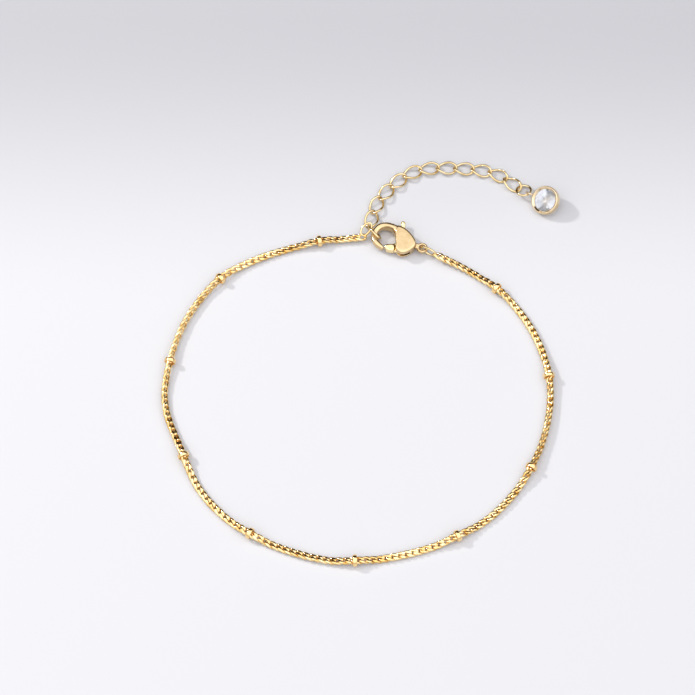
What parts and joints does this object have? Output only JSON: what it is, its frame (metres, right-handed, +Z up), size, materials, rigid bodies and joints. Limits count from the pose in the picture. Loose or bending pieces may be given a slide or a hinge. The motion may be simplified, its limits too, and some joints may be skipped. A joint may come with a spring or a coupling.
{
  "type": "station chain bracelet",
  "caption": "Fine curb chain bracelet with ring beads spaced along it, a lobster clasp and a link extender that ends in a round crystal drop.",
  "frame": {"origin": "bottom centre of the box of the whole bracelet as it lies on a table", "axes": "+Z up from the table, +Y from the far side of the loop towards the clasp, +X from the hook towards the drop"},
  "size_m": [0.0608, 0.068, 0.0031],
  "materials": {
    "chain_gold": "polished gold plating",
    "bead_gold": "mirror polished gold plating",
    "link_gold": "polished gold plating",
    "clasp_gold": "polished cast gold plating",
    "lever_gold": "polished pale gold plating",
    "bezel_gold": "mirror polished gold plating",
    "crystal": "cut and polished clear crystal"
  },
  "bodies": {
    "bracelet": {"chain": "chain_gold", "clasp_body": "clasp_gold", "clasp_pin": "clasp_gold", "connector_left": "link_gold", "connector_right": "link_gold", "drop_bezel": "bezel_gold", "drop_stone": "crystal", "extender_link_01": "link_gold", "extender_link_02": "link_gold", "extender_link_03": "link_gold", "extender_link_04": "link_gold", "extender_link_05": "link_gold", "extender_link_06": "link_gold", "extender_link_07": "link_gold", "extender_link_08": "link_gold", "extender_link_09": "link_gold", "extender_link_10": "link_gold", "extender_link_11": "link_gold", "hook_link": "link_gold", "jump_ring": "link_gold", "station_bead_01": "bead_gold", "station_bead_02": "bead_gold", "station_bead_03": "bead_gold", "station_bead_04": "bead_gold", "station_bead_05": "bead_gold", "station_bead_06": "bead_gold", "station_bead_07": "bead_gold", "station_bead_08": "bead_gold", "station_bead_09": "bead_gold", "station_bead_10": "bead_gold"},
    "lever": {"clasp_lever": "lever_gold"}
  },
  "joints": [
    {"name": "clasp_lever_hinge", "type": "hinge", "parent": "bracelet", "child": "lever", "pos_m": [0.00623, 0.01935, 0.001], "axis": [0, 0, -1], "range_deg": [0, 22], "stiffness_Nm_per_rad": 0.001}
  ]
}
